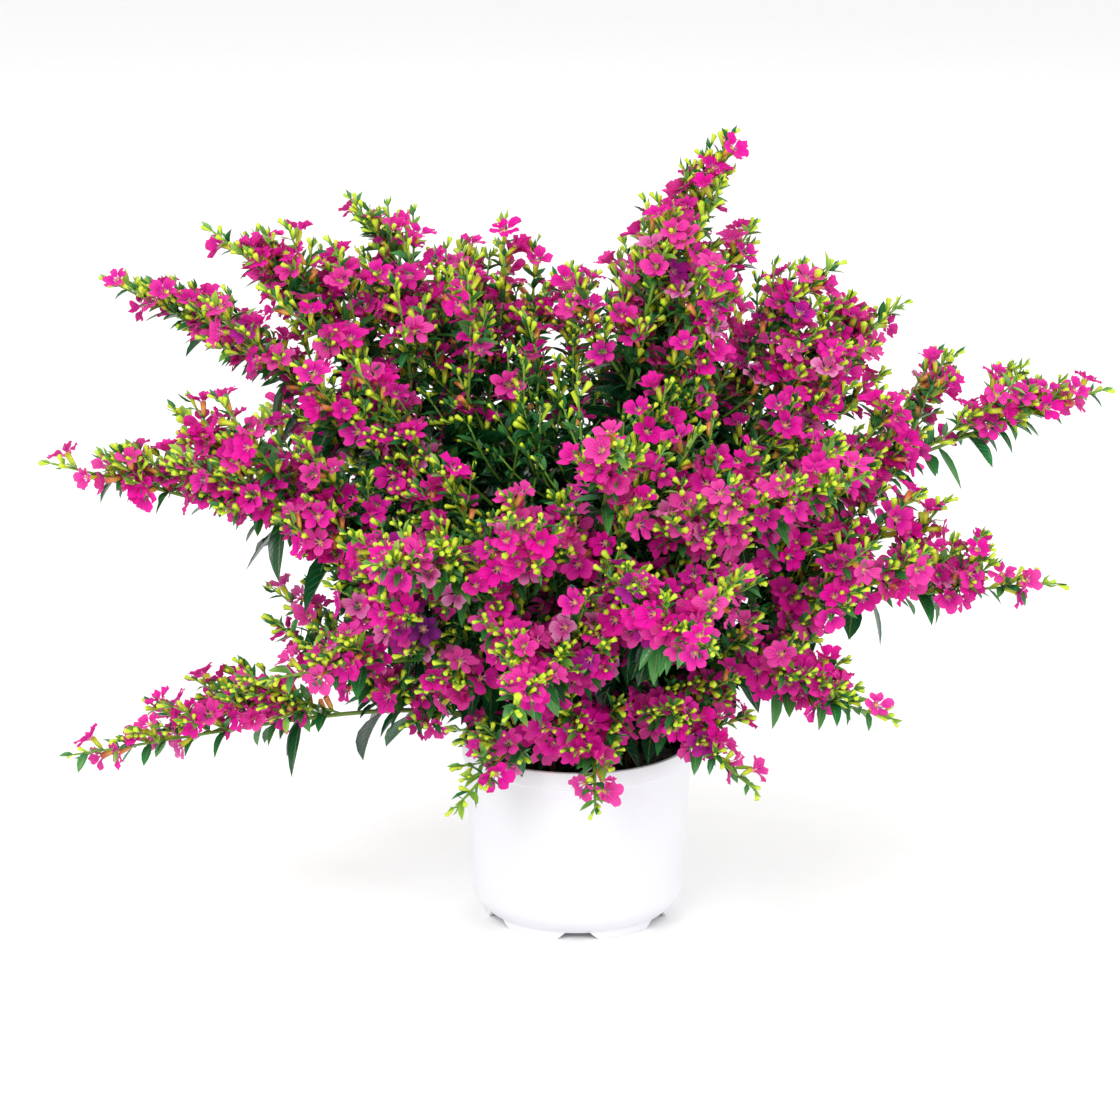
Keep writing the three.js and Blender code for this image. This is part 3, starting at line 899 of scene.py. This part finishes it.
class Growth:
    """What one branch carries: its stems, and where each leaf, calyx, bud and flower goes."""

    def __init__(self, number):
        scene = bpy.context.scene
        self.plant = scene.heather_plant
        self.flower = scene.heather_flower
        self.chance = random.Random(self.plant.seed * 100 + number)
        self.stems = []
        self.green = []
        self.petals = []

    def jitter(self, amount):
        """A small vector in a chance direction."""
        return Vector([self.chance.uniform(-amount, amount) for _ in range(3)])

    def add_leaf(self, origin, forward, facing, youth, scale=1.0):
        """Place one leaf whose size follows its youth, and whose colour follows its youth and its depth in
        the plant: darker deep inside, as painted shade.
        """
        chance = self.chance
        long = blend(self.plant.old_leaf, self.plant.young_leaf, youth**0.6)
        long *= scale * chance.uniform(*LEAF_LENGTHS)
        wide = long * chance.uniform(*LEAF_WIDTHS)
        forward = forward.normalized()
        upper = (facing - forward * facing.dot(forward)).normalized()
        for step in range(1, LEAF_CHECKS + 1):
            share = step / LEAF_CHECKS
            point = origin + forward * long * share - upper * LEAF_SAG * long * share * share
            if not in_the_clear(point, POT_CLEARANCE + wide / 4):
                return
        # Partly real and partly painted shade: old leaves are darker, and leaves deep inside the plant
        # also get older, darker tiles
        age = 0.7 * youth + 0.3 * between(openness(origin), 0.4, 1.05)
        age += chance.uniform(-AGE_SPREAD, AGE_SPREAD)
        tiles = next(tiles for limit, tiles in LEAF_AGE_AND_SHADE_TILES if age < limit)
        rows = next(count for length, count in LEAF_ROWS if long > length)
        mesh = leaf_mesh(chance.randrange(LEAF_FORMS), chance.choice(tiles), rows)
        matrix = placing(origin, forward, facing + self.jitter(0.3), (wide, long, long))
        self.green.append((mesh, matrix))

    def add_pair(self, point, ahead, turn, youth, scale=1.0):
        """Place two opposite leaves at a node. They hang where they are old and the stem lies level."""
        level = 1 - abs(ahead.z)
        hang = level * (1 - youth * youth)
        for side in (0, math.pi):
            aside = square_to(ahead, turn + side)
            aside.z = blend(aside.z, -abs(aside.z), hang)
            droop = (0.35 + 1.7 * level) * (1 - youth) - 0.15 * youth
            droop *= self.chance.uniform(0.3, 1.1)
            forward = ahead * blend(0.4, 0.8, youth) + aside + DOWN * droop
            forward += self.jitter(blend(0.55, 0.15, youth))
            if self.chance.random() < blend(*LEAVES_KEPT, hang):
                self.add_leaf(point, forward, UP + ahead * 0.3, youth, scale)

    def way_out(self, point, ahead, aside):
        """The direction that a flower or bud on one side of a stem grows in."""
        outward = (point - PLANT_HEART).normalized()
        rising = UP * blend(0.6, 0.1, abs(ahead.z))
        return (aside + ahead * 0.6 + outward * 0.6 + rising + self.jitter(0.3)).normalized()

    def add_bud(self, point, forward, long):
        """Place one closed bud."""
        if in_the_clear(point + forward * long, POT_CLEARANCE):
            mesh = bud_mesh(self.chance.randrange(BUD_FORMS), self.chance.choice(BUD_TILES))
            self.green.append((mesh, placing(point, forward, UP, (long, long, long))))

    def add_calyx(self, point, forward, tile, long):
        """Place one calyx tube and tell where its mouth is."""
        mesh = calyx_mesh(self.chance.randrange(CALYX_FORMS), tile)
        self.green.append((mesh, placing(point, forward, UP, (long, long, long))))
        return point + forward * long * 0.93

    def add_spent(self, point, forward):
        """Place one calyx whose petals have fallen."""
        long = self.flower.calyx_length * self.chance.uniform(0.75, 1.0)
        if in_the_clear(point + forward * long, POT_CLEARANCE):
            self.add_calyx(point, forward, self.chance.choice(EMPTY_CALYX_TILES), long)

    def add_flower(self, point, forward, age):
        """Place one open flower on its calyx. Age runs from 0, just open, to 1, fading."""
        chance = self.chance
        long = self.flower.calyx_length * chance.uniform(0.8, 1.05)
        reach = self.flower.width / 2 * chance.uniform(0.86, 1.12)
        middle = point + forward * (long + 0.3 * reach)
        if not in_the_clear(middle, POT_CLEARANCE + 0.7 * reach):
            return
        mouth = self.add_calyx(point, forward, chance.choice(OPEN_CALYX_TILES), long)
        drift = noise.noise(point * 14)
        pick = 0.75 * chance.random() + 0.25 * age + 0.3 * drift + 0.05
        tiles = next((tiles for limit, tiles in PETAL_PICKS if pick < limit), None)
        tile = chance.choice(tiles) if tiles else DARK_PETAL_TILE
        top = UP + self.jitter(0.35)
        mesh = flower_mesh(chance.randrange(len(FLOWER_SPREADS)), tile)
        self.petals.append((mesh, placing(mouth, forward, top, (reach, reach, reach))))

    def add_tuft(self, path, exposed):
        """Crowd small leaves and buds at the end of a stem."""
        chance = self.chance
        ahead = path.ahead(1)
        for index in range(3):
            aside = square_to(ahead, index * 2.1)
            forward = ahead * 1.6 + aside * 0.7
            self.add_leaf(path.at(1 - 0.02 * index), forward, ahead + aside, 1.0, chance.uniform(0.6, 0.9))
        for index in range(chance.choice((1, 2, 2))):
            if chance.random() < exposed:
                aside = square_to(ahead, index * 2.4 + 0.8)
                forward = (ahead * 1.3 + aside * 0.9).normalized()
                self.add_bud(path.at(1 - 0.03 * index), forward, chance.uniform(*TUFT_BUDS))

    def bear(self, point, ahead, turn, back, share_open):
        """Place what a node bears, by how many nodes it is back from the tip."""
        chance = self.chance
        exposed = between(openness(point), *NODES_BEAR)
        flowering = blend(*FLOWERING_NODES, between(ahead.z, *UPRIGHT))
        forward = self.way_out(point, ahead, square_to(ahead, turn))
        behind = self.way_out(point, ahead, square_to(ahead, turn + math.pi))
        if back <= 1:
            if chance.random() < exposed:
                self.add_bud(point, forward, chance.uniform(*FIRST_BUDS))
        elif back <= flowering:
            if chance.random() < share_open * exposed:
                self.add_flower(point, forward, (back - 2) / 6)
            elif chance.random() < BUD_SHARE * exposed:
                self.add_bud(point, forward, chance.uniform(*GROWN_BUDS))
            if chance.random() < SECOND_BUD_SHARE * exposed:
                self.add_bud(point, behind, chance.uniform(*SECOND_BUDS))
        elif back <= SPENT_NODES and chance.random() < SPENT_SHARE * exposed:
            self.add_spent(point, forward)

    def nodes_along(self, path):
        """Count a stem's nodes back from its tip, each with its share of the length, place and turn."""
        plant = self.plant
        start_turn = self.chance.uniform(0, math.pi)
        back = 0
        left = plant.tip_node_gap
        while left < path.length:
            back += 1
            share = 1 - left / path.length
            yield back, share, path.at(share), path.ahead(share), start_turn + (back - 1) * math.pi / 2
            left += blend(plant.tip_node_gap, plant.branch_node_gap, between(left, *NODES_SPREAD))

    def grow_shoot(self, path, youth, twigs):
        """Grow one side shoot, with twigs of its own where it is long."""
        chance = self.chance
        radius = SHOOT_TIP_RADIUS + path.length * SHOOT_TAPER
        steps = TWIGGY_SHOOT_STEPS if twigs else SHOOT_STEPS
        self.stems.append((path, steps, SHOOT_SIDES, radius, SHOOT_TIP_RADIUS, blend(youth, 1.0, 0.3)))
        for back, share, point, ahead, turn in self.nodes_along(path):
            self.add_pair(point, ahead, turn, blend(youth, 1.0, share), 0.9)
            self.bear(point, ahead, turn + math.pi / 2, back, SHOOT_OPEN)
            if twigs and 0.2 < share < 0.8 and chance.random() < TWIG_SHARE:
                aside = square_to(ahead, turn + math.pi * chance.randrange(2))
                long = path.length * chance.uniform(*TWIG_LENGTHS) * (1.15 - share)
                long = max(long, SHORTEST_TWIG)
                self.grow_side(point, ahead, aside, long, blend(youth, 1.0, 0.5), False)
        self.add_tuft(path, between(openness(path.at(1)), *TUFTS_BEAR))

    def grow_side(self, point, ahead, aside, long, youth, twigs):
        """Send a shoot off a stem: out to the side at first, then up and along."""
        outward = (point - PLANT_HEART).normalized()
        leaving = ahead * 0.8 + aside + outward * 0.15 + UP * 0.1 + self.jitter(0.15)
        leaving.normalize()
        ending = (leaving + ahead * 0.35 + outward * 0.3 + UP * 0.5).normalized()
        bend = point + leaving * long * 0.5
        path = Path(point, bend, bend + ending * long * 0.5)
        steps = 1 + int(path.length / SHOOT_CHECK_GAP)
        if all(in_the_clear(path.at(step / steps), 2 * POT_CLEARANCE) for step in range(1, steps + 1)):
            self.grow_shoot(path, youth, twigs)

    def send_shoots(self, point, ahead, turn, left, youth):
        """Send shoots off both sides of a branch, longer where it is level, buried or far from its tip."""
        plant, chance = self.plant, self.chance
        upright = ahead.z**2
        for side in (0, math.pi):
            if chance.random() < blend(*SHOOTS_SENT, upright**2):
                buried = 1 - between(openness(point), 0.2, 1.0)
                fuller = FULLNESS + LEVEL_FULLNESS * (1 - upright) + BURIED_FULLNESS * buried
                long = min(plant.longest_shoot, plant.shortest_shoot + fuller * (left - plant.bare_tip))
                long *= chance.uniform(*SHOOT_LENGTHS)
                aside = square_to(ahead, turn + side)
                aside.z = blend(abs(aside.z), aside.z, upright)
                self.grow_side(point, ahead, aside, long, blend(youth, 1.0, 0.45), long > TWIGGY_SHOOT)

    def grow(self, path):
        """Grow the whole branch along its path."""
        plant = self.plant
        self.stems.append((path, BRANCH_STEPS, BRANCH_SIDES, plant.stem_radius, BRANCH_TIP_RADIUS, 0.0))
        for back, share, point, ahead, turn in self.nodes_along(path):
            left = path.length * (1 - share)
            youth = max(0.0, 1 - left / (plant.leafy_length * (1 + 0.7 * ahead.z**2)))
            self.add_pair(point, ahead, turn, youth)
            if share < 0.6 and ahead.z > 0.6:
                self.add_pair(point, ahead, turn + math.pi / 2, youth, 0.9)
            if left < 2.2 * plant.bare_tip:
                self.bear(point, ahead, turn + math.pi / 2, back, TIP_OPEN)
            if share >= 0.2 and left >= plant.bare_tip:
                self.send_shoots(point, ahead, turn, left, youth)
        self.add_tuft(path, 1.0)


@lru_cache(maxsize=None)
def grown(number):
    """The growth of a branch, worked out once."""
    growth = Growth(number)
    growth.grow(branch_path(number))
    return growth


def put_in_scene(name, data):
    """Make an object of a mesh, a light or a camera and link it to the scene."""
    item = bpy.data.objects.new(name, data)
    bpy.context.collection.objects.link(item)
    return item


def add_piece(name, bm, material, slot, *nodes):
    """Make a smooth piece of a bmesh, in its material, standing for its CAD nodes."""
    if not bm.faces:
        raise RuntimeError(f"{name} has no faces")
    piece = put_in_scene(name, mesh_of(bm, name))
    piece.data.materials.append(material)
    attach(piece, "root")
    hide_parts(*nodes)


def wall_radius(pot, height):
    """The pot's outer radius at a height of its straight wall."""
    share = (height - LOWER_WALL_HEIGHT) / (pot.height - LOWER_WALL_HEIGHT)
    return blend(LOWER_WALL_RADIUS, pot.rim_radius - RIM_BAND_STEP, share)


def pot_profile(pot):
    """The pot's section, from under its floor up the outside and down the inside to the floor's top."""
    band = pot.height - RIM_BAND_HEIGHT
    foot = pot.foot_radius
    floor = FOOT_HEIGHT + pot.wall
    inner_foot = foot - FOOT_WIDTH
    lip = pot.rim_radius - RIM_BAND_STEP - pot.wall
    lower = LOWER_WALL_RADIUS
    return [
        (0, FOOT_HEIGHT),
        (DRAIN_INNER, FOOT_HEIGHT),
        (DRAIN_OUTER, FOOT_HEIGHT),
        (inner_foot, FOOT_HEIGHT),
        (inner_foot, 0.4 * MM),
        (inner_foot + 0.4 * MM, 0),
        (foot - 0.4 * MM, 0),
        (foot, 0.4 * MM),
        (foot, FOOT_HEIGHT - 0.2 * MM),
        (foot + 0.2 * MM, FOOT_HEIGHT + 0.4 * MM),
        (foot + 0.7 * MM, FOOT_HEIGHT + 0.8 * MM),
        (foot + 2.2 * MM, 5.9 * MM),
        (foot + 3.7 * MM, 7.7 * MM),
        (foot + 4.9 * MM, 9.6 * MM),
        (lower - 0.8 * MM, 11.4 * MM),
        (lower - 0.25 * MM, 13.2 * MM),
        (lower, LOWER_WALL_HEIGHT),
        (wall_radius(pot, 38 * MM), 38 * MM),
        (wall_radius(pot, 62 * MM), 62 * MM),
        (wall_radius(pot, band), band),
        (wall_radius(pot, band) + 0.25 * MM, band + 0.15 * MM),
        (pot.rim_radius - 0.3 * MM, band + 0.7 * MM),
        (pot.rim_radius - 0.15 * MM, band + 1.3 * MM),
        (pot.rim_radius, pot.height - 0.9 * MM),
        (pot.rim_radius - 0.2 * MM, pot.height - 0.3 * MM),
        (pot.rim_radius - 0.7 * MM, pot.height),
        (lip + 0.4 * MM, pot.height),
        (lip, pot.height - 0.4 * MM),
        (wall_radius(pot, band) - pot.wall, band),
        (lower - pot.wall, LOWER_WALL_HEIGHT),
        (lower - pot.wall - 1.4 * MM, 11.4 * MM),
        (foot + 1.2 * MM, 7.6 * MM),
        (foot - 2 * MM, floor),
        (DRAIN_OUTER, floor),
        (DRAIN_INNER, floor),
        (0, floor),
    ]


def from_nearest_notch(point):
    """The angle between a point of the pot and the middle of the notch nearest to it."""
    sector = FULL_TURN / NOTCHES
    turn = math.atan2(point.y, point.x) + math.pi / 2
    return abs((turn + sector / 2) % sector - sector / 2)


def cut_notches(bm):
    """Raise the foot ring's edge over each drain notch."""
    slope = NOTCH_HALF_BELOW - NOTCH_HALF_ABOVE
    for vert in bm.verts:
        open_share = 1 - (from_nearest_notch(vert.co) - NOTCH_HALF_ABOVE) / slope
        edge = FOOT_HEIGHT * min(1.0, max(0.0, open_share))
        vert.co.z = max(vert.co.z, edge)
    bmesh.ops.remove_doubles(bm, verts=bm.verts, dist=0.01 * MM)


def is_over_slot(face):
    """True for a face of the floor, above or below, where a drain slot is."""
    middle = face.calc_center_median()
    in_ring = DRAIN_INNER < math.hypot(middle.x, middle.y) < DRAIN_OUTER
    return in_ring and from_nearest_notch(middle) < DRAIN_HALF and middle.z < 6 * MM


def cut_drains(bm):
    """Open a drain slot through the floor behind each notch."""
    opened = [face for face in bm.faces if is_over_slot(face)]
    bmesh.ops.delete(bm, geom=opened, context="FACES")
    sector = FULL_TURN / NOTCHES
    for index in range(NOTCHES):
        rims = []
        for edge in bm.edges:
            middle = (edge.verts[0].co + edge.verts[1].co) / 2
            turn = (math.atan2(middle.y, middle.x) + math.pi / 2) % FULL_TURN
            if edge.is_boundary and round(turn / sector) % NOTCHES == index:
                rims.append(edge)
        bmesh.ops.bridge_loops(bm, edges=rims)


class HEATHER_OT_pot(bpy.types.Operator):
    """Build the white pot with its rim band, foot ring, drain notches and slots"""

    bl_idname = "heather.pot"
    bl_label = "Make the pot"

    def execute(self, context):
        pot = context.scene.heather_pot
        bm = turned(pot_profile(pot), POT_STEPS)
        cut_notches(bm)
        cut_drains(bm)
        bmesh.ops.recalc_face_normals(bm, faces=bm.faces)
        for edge in bm.edges:
            edge.smooth = edge.calc_face_angle(0) < SHARP_EDGE
        add_piece("grower_pot", bm, pot_finish(pot), "white_pot", "pot")
        return {"FINISHED"}


def soil_profile(pot):
    """The root ball's section, with many rings over its surface."""
    side = wall_radius(pot, pot.soil_height) - pot.wall - SOIL_GAP
    lower = LOWER_WALL_RADIUS - pot.wall - SOIL_GAP
    bottom = FOOT_HEIGHT + pot.wall + SOIL_GAP
    rings = [side * (SOIL_RINGS - ring) / SOIL_RINGS for ring in range(1, SOIL_RINGS + 1)]
    return [
        (0, bottom),
        (pot.foot_radius - 3 * MM, bottom),
        (pot.foot_radius + 0.6 * MM, 9 * MM),
        (lower - 1.6 * MM, 12.6 * MM),
        (lower, LOWER_WALL_HEIGHT + 0.8 * MM),
        (side, pot.soil_height - 2 * MM),
        *[(radius, pot.soil_height) for radius in rings],
    ]


def crumb_mesh(chance):
    """A small uneven lump of peat or bark, of unit size."""
    bm = bmesh.new()
    bmesh.ops.create_icosphere(bm, subdivisions=1, radius=0.5)
    for vert in bm.verts:
        vert.co *= chance.uniform(0.65, 1.2)
    return mesh_of(bm, "crumb")


class HEATHER_OT_soil(bpy.types.Operator):
    """Fill the pot with a root ball of crumbly peat"""

    bl_idname = "heather.soil"
    bl_label = "Make the soil"

    def execute(self, context):
        pot = context.scene.heather_pot
        chance = random.Random(context.scene.heather_plant.seed)
        bm = turned(soil_profile(pot), SOIL_STEPS)
        for vert in bm.verts:
            if vert.co.z > pot.soil_height - 1 * MM:
                vert.co.z += SOIL_UNEVENNESS * noise.fractal(vert.co * 140, 0.7, 2.0, 4)
        crumbs = [crumb_mesh(chance) for _ in range(CRUMB_FORMS)]
        reach = wall_radius(pot, pot.soil_height) - pot.wall - CRUMB_GAP
        for _ in range(CRUMBS):
            radius = reach * math.sqrt(chance.random())
            turn = chance.uniform(0, FULL_TURN)
            size = chance.uniform(0.8, 1) ** 4 * chance.choice(CRUMB_SIZES)
            height = pot.soil_height + 0.3 * MM
            place = Vector((radius * math.cos(turn), radius * math.sin(turn), height))
            forward = Vector([chance.uniform(-1, 1) for _ in range(3)])
            shape = (size, size * chance.uniform(0.5, 1), size * chance.uniform(0.8, 1.7))
            stamp(bm, chance.choice(crumbs), placing(place, forward, UP, shape))
        add_piece("root_ball", bm, soil_finish(pot), "potting_soil", "soil")
        return {"FINISHED"}


class HEATHER_OT_branches(bpy.types.Operator):
    """Grow every branch with its stems, leaves, buds and calyxes"""

    bl_idname = "heather.branches"
    bl_label = "Grow the branches"

    def execute(self, context):
        material = green_finish(context.scene.heather_plant)
        for number in range(1, len(BRANCH_TIPS) + 1):
            growth = grown(number)
            bm = bmesh.new()
            for stem in growth.stems:
                stamp_once(bm, stem_mesh(*stem), Matrix.Identity(4))
            for mesh, matrix in growth.green:
                stamp(bm, mesh, matrix)
            add_piece(f"leafy_stems_{number:02d}", bm, material, "foliage", f"branch_{number:02d}")
        return {"FINISHED"}


class HEATHER_OT_flowers(bpy.types.Operator):
    """Open the flowers of every branch"""

    bl_idname = "heather.flowers"
    bl_label = "Open the flowers"

    def execute(self, context):
        material = petal_finish(context.scene.heather_flower)
        for number in range(1, len(BRANCH_TIPS) + 1):
            bm = bmesh.new()
            for mesh, matrix in grown(number).petals:
                stamp(bm, mesh, matrix)
            add_piece(f"petals_{number:02d}", bm, material, "petals", f"flowers_{number:02d}")
        return {"FINISHED"}


def add_light(name, place, size, power):
    """Add one soft square light that looks at the plant."""
    light = bpy.data.lights.new(name, "AREA")
    light.shape = "SQUARE"
    light.size = size
    light.energy = power
    lamp = put_in_scene(name, light)
    lamp.location = place
    lamp.rotation_euler = (AIM - place).to_track_quat("-Z", "Y").to_euler()


def add_camera(stage):
    """Add the camera at the photograph's angle."""
    camera = bpy.data.cameras.new("camera")
    camera.sensor_width = SENSOR_WIDTH
    camera.lens = stage.lens
    camera.clip_end = FARTHEST_SEEN
    viewer = put_in_scene("camera", camera)
    back = Vector((0, -math.cos(stage.elevation), math.sin(stage.elevation)))
    viewer.location = AIM + back * stage.distance
    viewer.rotation_euler = (-back).to_track_quat("-Z", "Y").to_euler()
    bpy.context.scene.camera = viewer


class HEATHER_OT_stage(bpy.types.Operator):
    """Set up the pale floor, the soft light and the camera"""

    bl_idname = "heather.stage"
    bl_label = "Set the stage"

    def execute(self, context):
        stage = context.scene.heather_stage
        bm = bmesh.new()
        bmesh.ops.create_circle(bm, cap_ends=True, segments=FLOOR_SIDES, radius=FLOOR_RADIUS)
        floor = put_in_scene("floor", mesh_of(bm, "floor"))
        floor.data.materials.append(floor_finish(stage))

        world = bpy.data.worlds.new("studio")
        context.scene.world = world
        world.use_nodes = True
        background = world.node_tree.nodes["Background"]
        background.inputs["Color"].default_value = (1.0, 1.0, 1.0, 1.0)
        background.inputs["Strength"].default_value = stage.daylight
        for light in LIGHTS:
            add_light(*light)
        add_camera(stage)
        context.scene.view_settings.view_transform = "Standard"
        return {"FINISHED"}


OPERATORS = (HEATHER_OT_pot, HEATHER_OT_soil, HEATHER_OT_branches, HEATHER_OT_flowers, HEATHER_OT_stage)
SETTINGS = {
    "heather_pot": PotSettings,
    "heather_plant": PlantSettings,
    "heather_flower": FlowerSettings,
    "heather_stage": StageSettings,
}


class HEATHER_PT_plant(bpy.types.Panel):
    """The sidebar's list of what can be made and set"""

    bl_idname = "HEATHER_PT_plant"
    bl_label = "False heather"
    bl_space_type = "VIEW_3D"
    bl_region_type = "UI"
    bl_category = "Plant"

    def draw(self, context):
        for operator in OPERATORS:
            self.layout.operator(operator.bl_idname)
        for name, group in SETTINGS.items():
            box = self.layout.box()
            for key in group.__annotations__:
                box.prop(getattr(context.scene, name), key)


CLASSES = (*SETTINGS.values(), *OPERATORS, HEATHER_PT_plant)


def register():
    for kind in CLASSES:
        bpy.utils.register_class(kind)
    for name, group in SETTINGS.items():
        setattr(bpy.types.Scene, name, PointerProperty(type=group))


def unregister():
    for name in SETTINGS:
        delattr(bpy.types.Scene, name)
    for kind in reversed(CLASSES):
        bpy.utils.unregister_class(kind)


def main():
    register()
    bpy.ops.heather.stage()
    bpy.ops.heather.pot()
    bpy.ops.heather.soil()
    bpy.ops.heather.branches()
    bpy.ops.heather.flowers()


if __name__ == "__main__":
    main()
